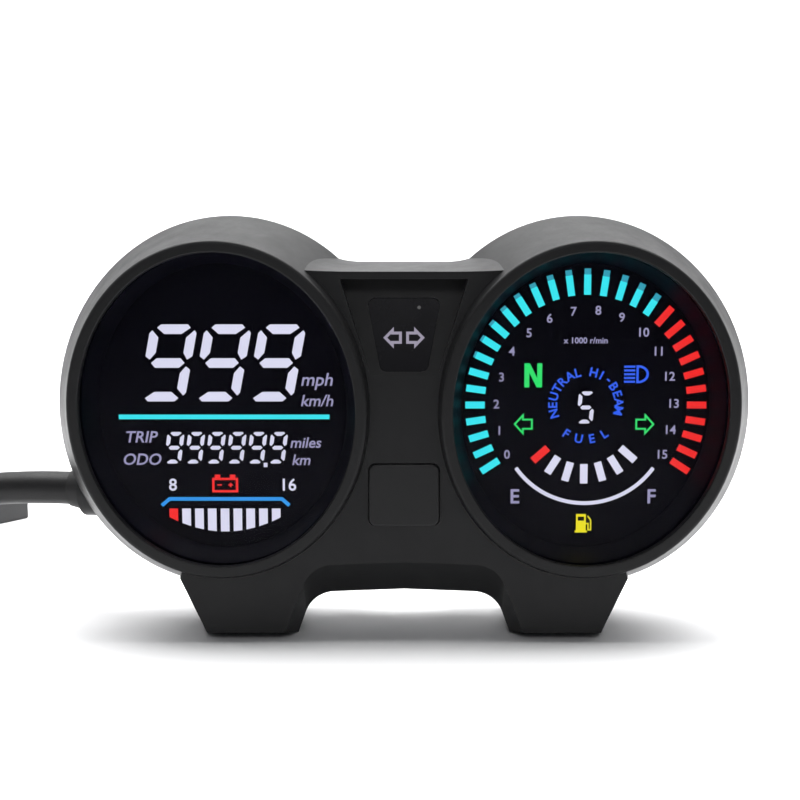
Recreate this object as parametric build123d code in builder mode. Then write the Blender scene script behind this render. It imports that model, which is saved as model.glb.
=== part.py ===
"""Motorcycle instrument cluster: two oval digital dials joined by a console with two feet.

X runs across the dials, Y runs from the front of the hoods to the back, Z is up.
The origin is under the middle of the housing, on the plane that the feet stand on.
"""

from build123d import *
import math
import os

os.makedirs("parts", exist_ok=True)

# ---- driving dimensions, mm ----
body_depth = 56.0  # hood front plane to the back of the rear cover
dial_spread = 62.4  # middle of the housing to each dial's centre
dial_height = 79.1  # floor to the dial centres

opening_x = 46.0  # half width of the oval that shows the dial
opening_z = 52.6  # half height of the same oval
opening_tilt = 4.5  # the ovals lean outwards at the top, degrees
rim_width = 3.8  # flat front rim around each opening
rim_outer_round = 1.2
rim_inner_round = 0.5
flare_x = 60.5  # half width of the hood at its widest, at the back
flare_z = 66.0
flare_tilt = -7.5
flare_depth = 30.0  # depth at which the hood is widest
wall = 2.5

face_depth = 4.0  # face of the console and the feet, behind the hood rims
console_top = 125.4
console_top_back = 129.0
bevel_depth = 14.0  # where the bevel under the arch ends
arch_height = 27.2  # front edge of the arch
arch_clearance = 15.4  # height left under the arch behind its bevel
arch_half = 30.0  # middle of each rounded corner of the arch
foot_depth = 46.0  # back edge of the feet

lens_thickness = 2.0
lens_seal_thickness = 0.8
film_depth = 15.0  # front of the dark dial window
film_thickness = 1.2
film_margin = 0.6  # film, light box and board reach this far past the opening's oval
light_box_thickness = 4.0
board_thickness = 1.6
aperture_inset = 3.4  # the tunnel narrows by this much down to the film
seat_gap = 0.3  # between curved pieces that lie on each other

button_width = 23.6
button_height = 20.6
button_base = 40.2
button_proud_top = 0.9
button_proud_bottom = 2.6
button_travel = 1.3
button_gap = 0.4

window_top_width = 25.2
window_bottom_width = 15.6
window_thickness = 1.6
window_recess = 0.5
scoop_angle = 14.0  # slope of the recess that holds the indicator window
scoop_base = 91.0  # where the recess meets the console face
scoop_length = 33.0

rear_wall = 2.4
rear_flange_depth = 26.0
rear_bowl_x = 40.0  # half width of each bowl at the back
rear_bowl_z = 44.0
rear_fit = 0.4  # rear cover inside the front cover
bridge_depth = 44.0  # back of the bridge between the bowls
bridge_width = 60.0
bridge_height = 91.0
bridge_middle = 79.5  # height of its centre
seal_thickness = 1.8

screw_radius = 1.9
screw_length = 10.6  # under the head
thread_fit = 0.05
boss_radius = 3.4
board_screw_radius = 1.3
mount_bore_radius = 3.25  # clears an M6 bolt
mount_length = 15.0
mount_spacing = 38.0  # between the two lower mounts
mount_height = 24.5
mount_plate_depth = 37.5
mount_plate = 5.0
bush_neck = 7.0
bush_flange = 9.0
stud_radius = 3.0  # M6 stud on the upper mount
stud_root_radius = 3.6  # plain root moulded into its boss
stud_height = 112.0

cable_diameter = 12.2
cable_height = 46.0
cable_depth = 42.5
cable_angle = 12.0  # the cable leaves to the left and this much to the rear, degrees
gland_end = 122.0  # end of the strain relief, left of the middle
gland_radius = 8.0
gland_length = 12.0  # rubber body held in the rear cover
relief_length = 6.0  # tapered part outside
cable_route = [
    (-153.3, 21.15, 46.0),
    (-187.0, 30.5, 36.5),
    (-213.5, 47.0, 20.0),
    (-232.0, 73.0, 7.6),
    (-240.0, 107.0, 6.4),
    (-235.0, 140.0, 6.4),
    (-219.0, 166.0, 6.4),
]
plug_length = 30.0
plug_width = 24.0
plug_height = 12.6

half_depth = body_depth / 2


# ---- planes and outlines that several pieces share ----
sides = {"left": -1, "right": 1}
lens_depth = wall + lens_seal_thickness
tunnel_depth = lens_depth + lens_thickness
box_depth = film_depth + film_thickness
board_depth = box_depth + light_box_thickness
board_back = board_depth + board_thickness
ledge_back = rear_flange_depth - seal_thickness
button_middle = button_base + button_height / 2


def front_plane(depth):
    """Plane facing the rider, at a depth behind the hood rims."""
    return Plane.XZ.offset(half_depth - depth)


def oval(depth, semi_x, semi_z, tilt, side):
    """Oval about one dial's centre; side is -1 for the left dial and 1 for the right."""
    with BuildSketch(front_plane(depth)) as outline:
        with Locations((side * dial_spread, dial_height)):
            Ellipse(semi_x, semi_z, rotation=-side * tilt)
    return outline.sketch


def opening(depth, grow, side):
    """The dial opening's oval, grown by an amount."""
    return oval(depth, opening_x + grow, opening_z + grow, opening_tilt, side)


def hood(depth, grow, side, at=None):
    """The hood's outside at a depth, grown by an amount; at takes the shape of another depth."""
    share = (depth if at is None else at) / flare_depth
    front_x = opening_x + rim_width
    front_z = opening_z + rim_width
    semi_x = front_x + share * (flare_x - front_x) + grow
    semi_z = front_z + share * (flare_z - front_z) + grow
    tilt = opening_tilt + share * (flare_tilt - opening_tilt)
    return oval(depth, semi_x, semi_z, tilt, side)


def console(depth, top, rise, inset):
    """Console column between the hoods, with its top corners swept up into them."""
    reach = 36.0 - inset
    level = top - inset
    start = 16.0 - inset
    with BuildSketch(front_plane(depth)) as outline:
        with BuildLine():
            Polyline((-reach, level + rise), (-reach, 40), (reach, 40), (reach, level + rise))
            ThreePointArc((reach, level + rise), (26.5 - inset, level + rise * 0.27), (start, level))
            Line((start, level), (-start, level))
            ThreePointArc((-start, level), (inset - 26.5, level + rise * 0.27), (-reach, level + rise))
        make_face()
    return outline.sketch


def skirt(depth, base, arch, foot_inner, spread, inset):
    """Lower console and both feet, with the arch between them rounded at its corners."""
    crown = arch + inset
    shoulder = (arch_half - 6.0, crown - 0.9)
    bend = (arch_half + inset * 0.5, crown - 2.7)
    knee = (arch_half + 4.1 + inset * 0.8, crown - 7.6)
    foot_side = [
        knee,
        (foot_inner + inset, base + inset),
        (67.3 + spread - inset, base + inset),
        (76.2 + spread - inset, 21.5),
        (66 - inset, 62),
    ]
    with BuildSketch(front_plane(depth)) as outline:
        with BuildLine():
            Line((0, crown), shoulder)
            ThreePointArc(shoulder, bend, knee)
            Polyline(*foot_side, *[(-x, z) for x, z in reversed(foot_side)])
            ThreePointArc(*[(-x, z) for x, z in (knee, bend, shoulder)])
            Line((-shoulder[0], shoulder[1]), (0, crown))
        make_face()
    return outline.sketch


def front_skirt(depth, inset):
    return skirt(depth, 2.6, arch_height, 40.8, 0, inset)


def lower_skirt(depth, inset):
    return skirt(depth, 0, arch_clearance, 36.9, 2, inset)


def foot(depth, inset, side):
    """Foot behind the skirt: a closed box under the rear cover."""
    inner = 36.9 + inset
    outer = 69.3 - inset
    lean = 4.2
    with BuildSketch(front_plane(depth)) as outline:
        with BuildLine():
            Polyline(
                (side * inner, inset),
                (side * outer, inset),
                (side * (outer + lean), 10 - inset),
                (side * inner, 10 - inset),
                close=True,
            )
        make_face()
    return outline.sketch


def rear_outline(depth, grow):
    """Edge of the rear cover's flange: both ovals and the bridge between them."""
    with BuildSketch(front_plane(depth)) as outline:
        for side in sides.values():
            add(hood(depth, grow - wall - rear_fit, side, at=rear_flange_depth))
        with Locations((0, 79.5)):
            Rectangle(48 + 2 * grow, 91 + 2 * grow)
    return outline.sketch


def trapezoid(plane, base, top, base_half, top_half, radius):
    """Upright trapezoid on a plane, with its top corners rounded."""
    with BuildSketch(plane) as outline:
        with BuildLine():
            Polyline((-base_half, base), (base_half, base), (top_half, top), (-top_half, top), close=True)
        make_face()
        if radius:
            fillet(outline.vertices().group_by(Axis.Z)[-1], radius)
    return outline.sketch


def key_outline(depth, grow):
    """Button outline: square lower corners and rounded top corners."""
    half = button_width / 2 + grow
    base = button_base - grow
    return trapezoid(front_plane(depth), base, base + button_height + 2 * grow, half, half, 2.4)


def screw_spots():
    """Cover screws as (x, z): two on the outer side of each dial and four in the console."""
    spots = []
    for side in sides.values():
        for angle in (52, -50):
            out = (opening_x + 6.4) * math.cos(math.radians(angle))
            up = (opening_z + 5.2) * math.sin(math.radians(angle))
            spots.append((side * (dial_spread + out), dial_height + up))
        spots.append((side * 19.5, 114.5))
        spots.append((side * 20.0, 40.5))
    return spots


board_screw_spots = [(side * x, z) for side in sides.values() for x, z in ((11.5, 70.0), (14.5, 98.5))]


def disc(depth, x, z, radius):
    """Circle facing the rider."""
    with BuildSketch(front_plane(depth)) as outline:
        with Locations((x, z)):
            Circle(radius)
    return outline.sketch


def block(depth, x, z, width, height):
    """Rectangle facing the rider, centred at a place."""
    with BuildSketch(front_plane(depth)) as outline:
        with Locations((x, z)):
            Rectangle(width, height)
    return outline.sketch


def export(builder, label):
    """Names a finished piece and writes its STEP file."""
    builder.part.label = label
    export_step(builder.part, f"parts/{label}.step")


# ---- recess for the indicator window, sloping back as it rises ----
slope = math.radians(scoop_angle)
scoop_plane = Plane(
    origin=(0, face_depth - half_depth, scoop_base),
    x_dir=(1, 0, 0),
    z_dir=(0, -math.cos(slope), math.sin(slope)),
)
scoop_top = scoop_base + scoop_length * math.cos(slope)
scoop_back = face_depth + scoop_length * math.sin(slope) + wall
window_low = 1.2  # along the slope, from the foot of the recess
window_high = 26.4


def window_outline(offset, shrink):
    """Window outline on the slope, at an offset in front of it."""
    return trapezoid(
        scoop_plane.offset(offset),
        window_low + shrink,
        window_high - shrink,
        window_bottom_width / 2 - shrink,
        window_top_width / 2 - shrink,
        2.6,
    )


with BuildPart() as scoop_cutter:
    extrude(trapezoid(front_plane(scoop_back + 2), scoop_base, scoop_top, 11.4, 21.4, 0), amount=scoop_back + 4)
    split(bisect_by=scoop_plane, keep=Keep.TOP)

def post_start(x, z):
    """Depth at which a boss or post leaves the wall of the front cover."""
    if abs(x) > dial_spread:
        return board_depth - 2.0
    return scoop_back - 1.0 if z > scoop_base else face_depth + wall - 0.5


# ---- front cover: both hoods, the console and the feet in one moulding ----
with BuildPart() as front_cover:
    for side in sides.values():
        loft(sections=[hood(0, 0, side), hood(flare_depth, 0, side)], ruled=True)
        extrude(foot(bevel_depth, 0, side), amount=bevel_depth - foot_depth)
    loft(
        sections=[console(face_depth, console_top, 0.6, 0), console(flare_depth, console_top_back, 8.5, 0)],
        ruled=True,
    )
    loft(sections=[front_skirt(face_depth, 0), lower_skirt(bevel_depth, 0)], ruled=True)
    extrude(lower_skirt(bevel_depth, 0), amount=bevel_depth - flare_depth)
    # hollow inside
    for side in sides.values():
        loft(
            sections=[hood(wall, -wall, side), hood(flare_depth + 1, -wall, side)],
            ruled=True,
            mode=Mode.SUBTRACT,
        )
        extrude(opening(-1, 0, side), amount=-wall - 2, mode=Mode.SUBTRACT)
        extrude(foot(bevel_depth, wall, side), amount=bevel_depth - foot_depth - 1, mode=Mode.SUBTRACT)
    loft(
        sections=[
            console(face_depth + wall, console_top, 0.6, wall),
            console(flare_depth + 1, console_top_back, 8.5, wall),
        ],
        ruled=True,
        mode=Mode.SUBTRACT,
    )
    loft(
        sections=[front_skirt(face_depth + wall, wall), lower_skirt(bevel_depth, wall)],
        ruled=True,
        mode=Mode.SUBTRACT,
    )
    extrude(lower_skirt(bevel_depth, wall), amount=bevel_depth - flare_depth - 1, mode=Mode.SUBTRACT)
    # recess, window seat and light passage
    extrude(
        trapezoid(front_plane(scoop_back), scoop_base - wall, scoop_top + 1.2, 13.4, 23.4, 0),
        amount=scoop_back - face_depth,
    )
    add(scoop_cutter.part, mode=Mode.SUBTRACT)
    extrude(
        window_outline(-window_recess - window_thickness, -0.1),
        amount=window_recess + window_thickness + 0.5,
        mode=Mode.SUBTRACT,
    )
    extrude(window_outline(0.5, 1.6), amount=-scoop_back, mode=Mode.SUBTRACT)
    # ledge for the housing seal, screw bosses and board posts
    with BuildSketch(front_plane(board_back + 0.2)) as ledge:
        add(rear_outline(board_back + 0.2, 0.8))
        add(rear_outline(board_back + 0.2, -3.2), mode=Mode.SUBTRACT)
    extrude(amount=board_back + 0.2 - ledge_back)
    for x, z in screw_spots():
        start = post_start(x, z)
        extrude(disc(start, x, z, boss_radius), amount=start - ledge_back)
        extrude(disc(start + 2, x, z, screw_radius + thread_fit), amount=-30, mode=Mode.SUBTRACT)
    for x, z in board_screw_spots:
        start = post_start(x, z)
        extrude(disc(start, x, z, 2.9), amount=start - board_depth)
        extrude(disc(board_depth - 6, x, z, board_screw_radius + thread_fit), amount=-7, mode=Mode.SUBTRACT)
    # button opening
    extrude(key_outline(0, button_gap), amount=-face_depth - wall - 1, mode=Mode.SUBTRACT)
    # soft edges on both rims: the long outer loops, then the openings
    fillet(front_cover.edges().group_by(Axis.Y)[0].sort_by(SortBy.LENGTH)[-2:], rim_outer_round)
    fillet(front_cover.edges().group_by(Axis.Y)[0].sort_by(SortBy.LENGTH)[:2], rim_inner_round)
export(front_cover, "front_cover")

# ---- mode button, its guide and the switch behind it ----
flange_depth = face_depth + wall + seat_gap
flange_thickness = 1.2
guide_plate_depth = flange_depth + flange_thickness + button_travel + seat_gap
guide_plate = 1.8
stem_radius = 3.0
switch_size = 12.0
switch_height = 3.4
switch_front = board_depth - switch_height
plunger_radius = 1.7
plunger_proud = 1.7
stem_end = switch_front - plunger_proud - 0.1

with BuildPart() as button_face:
    extrude(key_outline(flange_depth, 0), amount=flange_depth + 5)
    tilt = math.atan2(button_proud_bottom - button_proud_top, button_height)
    face_plane = Plane(
        origin=(0, face_depth - button_proud_bottom - half_depth, button_base),
        x_dir=(1, 0, 0),
        z_dir=(0, -math.cos(tilt), math.sin(tilt)),
    )
    split(bisect_by=face_plane, keep=Keep.BOTTOM)
    fillet(button_face.faces().sort_by(Axis.Y)[0].edges(), 0.6)

with BuildPart() as mode_button:
    add(button_face.part)
    extrude(
        block(flange_depth, 0, button_middle, button_width + 3, button_height + 3),
        amount=-flange_thickness,
    )
    extrude(disc(flange_depth, 0, button_middle, stem_radius), amount=flange_depth - stem_end)
export(mode_button, "mode_button")

guide_inner = button_width + 3.8
guide_height = button_height + 3.8
with BuildPart() as button_guide:
    start = face_depth + wall
    stop = guide_plate_depth + guide_plate
    extrude(block(start, 0, button_middle, guide_inner + 2.4, guide_height + 2.4), amount=start - stop)
    extrude(
        block(start, 0, button_middle, guide_inner, guide_height),
        amount=start - guide_plate_depth,
        mode=Mode.SUBTRACT,
    )
    extrude(disc(start, 0, button_middle, stem_radius + 0.08), amount=-30, mode=Mode.SUBTRACT)
export(button_guide, "button_guide")

with BuildPart() as button_seal:
    depth = guide_plate_depth + guide_plate
    extrude(disc(depth, 0, button_middle, 6.5), amount=-1.2)
    extrude(disc(depth, 0, button_middle, stem_radius + 0.08), amount=-1.2, mode=Mode.SUBTRACT)
export(button_seal, "button_seal")

with BuildPart() as switch_body:
    extrude(block(board_depth, 0, button_middle, switch_size, switch_size), amount=switch_height)
    extrude(
        disc(switch_front, 0, button_middle, plunger_radius + 0.06),
        amount=-plunger_proud - 1.2,
        mode=Mode.SUBTRACT,
    )
export(switch_body, "switch_body")

with BuildPart() as switch_plunger:
    extrude(disc(switch_front - plunger_proud, 0, button_middle, plunger_radius), amount=-plunger_proud - 1.2)
export(switch_plunger, "switch_plunger")

# ---- indicator window and the two-chamber light box behind it ----
with BuildPart() as indicator_window:
    extrude(window_outline(-window_recess - window_thickness, 0), amount=window_thickness)
export(indicator_window, "indicator_window")

arrow_spread = 6.6
arrow_height = 103.5
with BuildPart() as indicator_light_box:
    extrude(
        trapezoid(front_plane(scoop_back), 94.5, 113.5, window_bottom_width / 2 - 0.4, window_top_width / 2 - 2.6, 0),
        amount=scoop_back - board_depth,
    )
    for side in sides.values():
        extrude(
            block(scoop_back, side * arrow_spread * 0.62, arrow_height, 6.4, 12),
            amount=scoop_back - board_depth,
            mode=Mode.SUBTRACT,
        )
export(indicator_light_box, "indicator_light_box")


# ---- the optical stack of each dial, front to back ----
def light_spots(name):
    """Places of the lit areas as (x, z, width, height, turn), from the dial's centre."""
    spots = []
    if name == "right":
        for step in range(31):
            angle = math.radians(213 - 8.2 * step)
            spots.append((37.9 * math.cos(angle), 41.9 * math.sin(angle), 8.0, 3.2, math.degrees(angle)))
        for step in range(7):
            angle = math.radians(228 + 14 * step)
            spots.append((23.6 * math.cos(angle), 24.0 * math.sin(angle), 6.4, 2.8, math.degrees(angle)))
        for x, z, width, height in ((0, -1, 7.4, 12), (-18, 10.2, 7, 8.6), (17.8, 10.2, 9, 6.6)):
            spots.append((x, z, width, height, 0))
        for x, z, width, height in ((-21.4, -6.8, 6.6, 6.8), (20.6, -6.8, 6.6, 6.8), (0, -41.6, 6, 7)):
            spots.append((x, z, width, height, 0))
        return spots
    for step in range(3):
        spots.append((-17.6 + 18.6 * step, 14.3, 15.6, 27.0, 0))
    spots.append((0, -4.2, 74, 1.8, 0))
    for step in range(6):
        spots.append((-17.6 + 7.3 * step, -15.2, 6.4, 11.6, 0))
    for step in range(9):
        spots.append((-17.6 + 4.45 * step, -39.6, 3.1, 6.4, 0))
    spots.append((0, -27.4, 9.4, 6.8, 0))
    return spots


def lit_area(depth, side, spot, grow):
    """Rectangle on one lit area of a dial."""
    x, z, width, height, turn = spot
    with BuildSketch(front_plane(depth)) as outline:
        with Locations(Location((side * dial_spread + x, dial_height + z), turn)):
            Rectangle(width + 2 * grow, height + 2 * grow)
    return outline.sketch


for name, side in sides.items():
    with BuildPart() as lens_seal:
        extrude(opening(wall, 2.0, side), amount=-lens_seal_thickness)
        extrude(opening(wall, 0.2, side), amount=-lens_seal_thickness, mode=Mode.SUBTRACT)
    export(lens_seal, f"{name}_lens_seal")

    with BuildPart() as lens:
        extrude(opening(lens_depth, 2.0, side), amount=-lens_thickness)
        chamfer(lens.faces().sort_by(Axis.Y)[0].edges(), 0.3)
    export(lens, f"{name}_lens")

    with BuildPart() as tunnel:
        loft(
            sections=[opening(tunnel_depth, 1.9, side), opening(film_depth, 1.4 - aperture_inset, side)],
            ruled=True,
        )
        extrude(opening(film_depth, film_margin, side), amount=2.0)
        loft(
            sections=[opening(tunnel_depth, 0, side), opening(film_depth, -aperture_inset, side)],
            ruled=True,
            mode=Mode.SUBTRACT,
        )
    export(tunnel, f"{name}_tunnel")

    with BuildPart() as dial_film:
        extrude(opening(film_depth, film_margin, side), amount=-film_thickness)
    export(dial_film, f"{name}_dial_film")

    with BuildPart() as light_box:
        extrude(opening(box_depth, film_margin, side), amount=-light_box_thickness)
        for spot in light_spots(name):
            extrude(lit_area(box_depth, side, spot, 0), amount=-light_box_thickness, mode=Mode.SUBTRACT)
    export(light_box, f"{name}_light_box")

    with BuildPart() as leds:
        for spot in light_spots(name):
            x, z, width, height, turn = spot
            chip = (0, 0, min(2.4, width - 0.9), min(1.2, height - 0.5), turn)
            copies = max(1, int(max(width, height) // 12))
            for copy in range(copies):
                shift = (copy - (copies - 1) / 2) * 12
                place = (x + shift * (width > height), z + shift * (width <= height)) + chip[2:]
                extrude(lit_area(board_depth, side, place, 0), amount=0.8)
    export(leds, f"{name}_leds")

with BuildPart() as indicator_leds:
    for side in sides.values():
        extrude(block(board_depth, side * arrow_spread * 0.62, arrow_height, 3.0, 1.6), amount=0.8)
export(indicator_leds, "indicator_leds")

# ---- main board behind both dials, and what is soldered to its back ----
with BuildPart() as main_board:
    for side in sides.values():
        extrude(opening(board_depth, film_margin, side), amount=-board_thickness)
    extrude(block(board_depth, 0, 75.5, 60, 69), amount=-board_thickness)
    for x, z in board_screw_spots:
        extrude(disc(board_depth, x, z, board_screw_radius + 0.3), amount=-board_thickness, mode=Mode.SUBTRACT)
    for x, z in screw_spots():
        extrude(disc(board_depth, x, z, boss_radius + 0.4), amount=-board_thickness, mode=Mode.SUBTRACT)
export(main_board, "main_board")

with BuildPart() as board_screws:
    for x, z in board_screw_spots:
        extrude(disc(board_back, x, z, board_screw_radius), amount=board_thickness + 4.5)
        extrude(disc(board_back, x, z, 2.7), amount=-1.7)
        with Locations(front_plane(board_back + 1.7).location * Pos(x, z, 0)):
            Box(3.4, 0.7, 1.4, mode=Mode.SUBTRACT)
            Box(0.7, 3.4, 1.4, mode=Mode.SUBTRACT)
export(board_screws, "board_screws")

with BuildPart() as controller:
    extrude(block(board_back, -2, 84, 14, 14), amount=-1.6)
    for turn in range(4):
        for pin in range(-6, 7):
            along, out = pin * 0.95, 7.6
            x = -2 + (along if turn % 2 == 0 else (out if turn == 1 else -out))
            z = 84 + (along if turn % 2 == 1 else (out if turn == 0 else -out))
            size = (0.4, 1.4) if turn % 2 == 0 else (1.4, 0.4)
            extrude(block(board_back, x, z, *size), amount=-0.5)
export(controller, "controller")

with BuildPart() as driver_chips:
    for side in sides.values():
        for row in range(3):
            x, z = side * 60, 60 + 19 * row
            extrude(block(board_back, x, z, 7.4, 12.6), amount=-2.0)
            for pin in range(-5, 6):
                extrude(block(board_back, x, z + pin * 1.1, 10.2, 0.4), amount=-0.5)
export(driver_chips, "driver_chips")

with BuildPart() as regulator:
    extrude(block(board_back, -38, 96, 6.6, 6.2), amount=-2.3)
    extrude(block(board_back, -38, 100.1, 5.4, 2.0), amount=-0.6)
    for pin in (-2.3, 0, 2.3):
        extrude(block(board_back, -38 + pin, 91.6, 0.7, 2.6), amount=-0.6)
export(regulator, "regulator")

with BuildPart() as capacitors:
    for x, z in ((-38, 80), (-38, 66), (38, 96), (38, 82)):
        extrude(disc(board_back, x, z, 4.0), amount=-9.0)
    fillet(capacitors.edges().filter_by(GeomType.CIRCLE).group_by(Axis.Y)[-1], 0.6)
export(capacitors, "capacitors")

with BuildPart() as crystal:
    extrude(block(board_back, 12, 84, 4.6, 10.6), amount=-3.4)
    fillet(crystal.edges().filter_by(Axis.Y), 1.8)
export(crystal, "crystal")

header_x, header_z = -84.0, 62.0
header_width, header_height, header_depth = 12.0, 24.0, 9.0
with BuildPart() as board_header:
    extrude(block(board_back, header_x, header_z, header_width, header_height), amount=-header_depth)
export(board_header, "board_header")

# ---- rear cover: a bowl behind each dial, a bridge and the mounting plate ----
bowl_stages = ((flare_depth, 1.0), (41.0, 0.9), (50.5, 0.5), (body_depth, 0.0))


def bowl(side, inset):
    """Domed bowl behind one dial."""
    full_x = opening_x + rim_width + (flare_x - opening_x - rim_width) * rear_flange_depth / flare_depth
    full_z = opening_z + rim_width + (flare_z - opening_z - rim_width) * rear_flange_depth / flare_depth
    sections = []
    for depth, share in bowl_stages:
        semi_x = rear_bowl_x + share * (full_x - wall - rear_fit - rear_bowl_x) - inset
        semi_z = rear_bowl_z + share * (full_z - wall - rear_fit - rear_bowl_z) - inset
        at = depth - inset if depth == body_depth else depth
        sections.append(oval(at, semi_x, semi_z, -5.9, side))
    return sections


gland_plane = Plane(
    origin=(-gland_end, cable_depth - half_depth, cable_height),
    x_dir=(0, 0, 1),
    z_dir=(-math.cos(math.radians(cable_angle)), math.sin(math.radians(cable_angle)), 0),
)
boss_outer = gland_radius + 1.8
boss_end = -relief_length - 1.8  # along the gland's axis, from its end
boss_start = boss_end - gland_length - 1.0


def gland_disc(along, radius):
    """Circle across the cable's way out, placed along it."""
    with BuildSketch(gland_plane.offset(along)) as outline:
        Circle(radius)
    return outline.sketch


with BuildPart() as rear_body:
    extrude(rear_outline(rear_flange_depth, 0), amount=rear_flange_depth - flare_depth)
    for side in sides.values():
        loft(sections=bowl(side, 0))
    extrude(
        block(flare_depth, 0, bridge_middle, bridge_width, bridge_height),
        amount=flare_depth - bridge_depth,
    )
    extrude(gland_disc(boss_start, boss_outer), amount=boss_end - boss_start)

with BuildPart() as screw_wells:
    for x, z in screw_spots():
        extrude(disc(rear_flange_depth, x, z, boss_radius + 1.6), amount=rear_flange_depth - body_depth)
    add(rear_body.part, mode=Mode.INTERSECT)

well_floor = rear_flange_depth + 5.0
stud_start = bridge_depth - 5
boss_back = bridge_depth + 1.5
washer_back = boss_back + 1.6
mount_spots = [(side * mount_spacing / 2, mount_height) for side in sides.values()]
with BuildPart() as rear_cover:
    add(rear_body.part)
    extrude(rear_outline(rear_flange_depth - 1, -rear_wall), amount=-5.5, mode=Mode.SUBTRACT)
    for side in sides.values():
        loft(sections=bowl(side, rear_wall), mode=Mode.SUBTRACT)
    extrude(
        block(flare_depth, 0, bridge_middle, bridge_width - 2 * rear_wall, bridge_height - 2 * rear_wall),
        amount=flare_depth - bridge_depth + rear_wall,
        mode=Mode.SUBTRACT,
    )
    add(screw_wells.part)
    for x, z in screw_spots():
        extrude(disc(rear_flange_depth - 1, x, z, screw_radius + 0.3), amount=-40, mode=Mode.SUBTRACT)
        extrude(disc(well_floor, x, z, boss_radius), amount=-40, mode=Mode.SUBTRACT)
    # mounting plate under the bridge, with two open eyes for the bushes
    plate_base = mount_height - bush_neck - 3.0
    plate_top = bridge_middle - bridge_height / 2 + rear_wall
    extrude(
        block(mount_plate_depth, 0, (plate_base + plate_top) / 2, mount_spacing + 28, plate_top - plate_base),
        amount=-mount_plate,
    )
    for x, z in mount_spots:
        extrude(disc(mount_plate_depth - 1, x, z, bush_neck), amount=-mount_plate - 2, mode=Mode.SUBTRACT)
    # boss for the upper stud
    boss_front = bridge_depth - 7
    extrude(disc(boss_front, 0, stud_height, 7.0), amount=boss_front - boss_back)
    extrude(disc(stud_start, 0, stud_height, stud_root_radius), amount=-10, mode=Mode.SUBTRACT)
    # way out for the cable
    extrude(gland_disc(boss_start - 7, gland_radius), amount=40, mode=Mode.SUBTRACT)
    # breather holes
    for side in sides.values():
        extrude(disc(body_depth - 6, side * dial_spread, 54, 3.0), amount=-8, mode=Mode.SUBTRACT)
export(rear_cover, "rear_cover")

with BuildPart() as breather_plugs:
    for side in sides.values():
        extrude(disc(body_depth - rear_wall - 1.5, side * dial_spread, 54, 4.2), amount=-1.5)
        extrude(disc(body_depth - rear_wall - 1.5, side * dial_spread, 54, 2.95), amount=-1.5 - rear_wall)
        extrude(disc(body_depth - 2, side * dial_spread, 54, 1.0), amount=-3, mode=Mode.SUBTRACT)
export(breather_plugs, "breather_plugs")

with BuildPart() as housing_seal:
    with BuildSketch(front_plane(ledge_back)):
        add(rear_outline(ledge_back, -0.8))
        add(rear_outline(ledge_back, -rear_wall), mode=Mode.SUBTRACT)
    extrude(amount=-seal_thickness)
    for x, z in screw_spots():
        extrude(disc(ledge_back, x, z, screw_radius + 0.3), amount=-seal_thickness, mode=Mode.SUBTRACT)
export(housing_seal, "housing_seal")

with BuildPart() as cover_screws:
    for x, z in screw_spots():
        extrude(disc(well_floor, x, z, screw_radius), amount=screw_length)
        extrude(disc(well_floor, x, z, boss_radius - 0.4), amount=-2.2)
        with Locations(front_plane(well_floor + 2.2).location * Pos(x, z, 0)):
            Box(4.2, 0.9, 2.2, mode=Mode.SUBTRACT)
            Box(0.9, 4.2, 2.2, mode=Mode.SUBTRACT)
export(cover_screws, "cover_screws")

# ---- rubber-bushed lower mounts and the upper stud ----
bush_start = mount_plate_depth - (mount_length - mount_plate) / 2
sleeve_outer = 5.0
with BuildPart() as mount_bushes:
    for x, z in mount_spots:
        extrude(disc(bush_start, x, z, bush_flange), amount=bush_start - mount_plate_depth)
        extrude(disc(mount_plate_depth, x, z, bush_neck - 0.05), amount=-mount_plate)
        extrude(
            disc(mount_plate_depth + mount_plate, x, z, bush_flange),
            amount=bush_start - mount_plate_depth,
        )
        extrude(disc(bush_start - 1, x, z, sleeve_outer), amount=-mount_length - 2, mode=Mode.SUBTRACT)
    fillet(mount_bushes.edges().filter_by(GeomType.CIRCLE).filter_by(lambda e: e.radius > bush_neck + 0.5), 0.8)
export(mount_bushes, "mount_bushes")

with BuildPart() as mount_sleeves:
    for x, z in mount_spots:
        extrude(disc(bush_start, x, z, sleeve_outer), amount=-mount_length)
        extrude(disc(bush_start, x, z, bush_flange - 1), amount=1.2)
        extrude(disc(bush_start - 3, x, z, mount_bore_radius), amount=-mount_length - 4, mode=Mode.SUBTRACT)
export(mount_sleeves, "mount_sleeves")

with BuildPart() as upper_stud:
    extrude(disc(stud_start, 0, stud_height, stud_radius), amount=stud_start - body_depth)
    extrude(disc(stud_start, 0, stud_height, stud_root_radius), amount=stud_start - washer_back)
    chamfer(upper_stud.faces().sort_by(Axis.Y)[-1].edges(), 0.7)
export(upper_stud, "upper_stud")

with BuildPart() as stud_washer:
    extrude(disc(boss_back, 0, stud_height, 6.0), amount=boss_back - washer_back)
    extrude(disc(boss_back - 1, 0, stud_height, stud_root_radius + 0.2), amount=-4, mode=Mode.SUBTRACT)
export(stud_washer, "stud_washer")

# ---- cable: gland in the rear cover, leads inside, sleeved loom outside and its plug ----
cable_radius = cable_diameter / 2
with BuildPart() as cable_gland:
    extrude(gland_disc(boss_end - gland_length, gland_radius - 0.05), amount=gland_length)
    extrude(gland_disc(boss_end, boss_outer), amount=1.8)
    loft(sections=[gland_disc(boss_end + 1.8, gland_radius), gland_disc(0, cable_radius + 0.7)])
    extrude(gland_disc(boss_end - gland_length - 1, cable_radius - 1.6), amount=60, mode=Mode.SUBTRACT)
export(cable_gland, "cable_gland")

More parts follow.
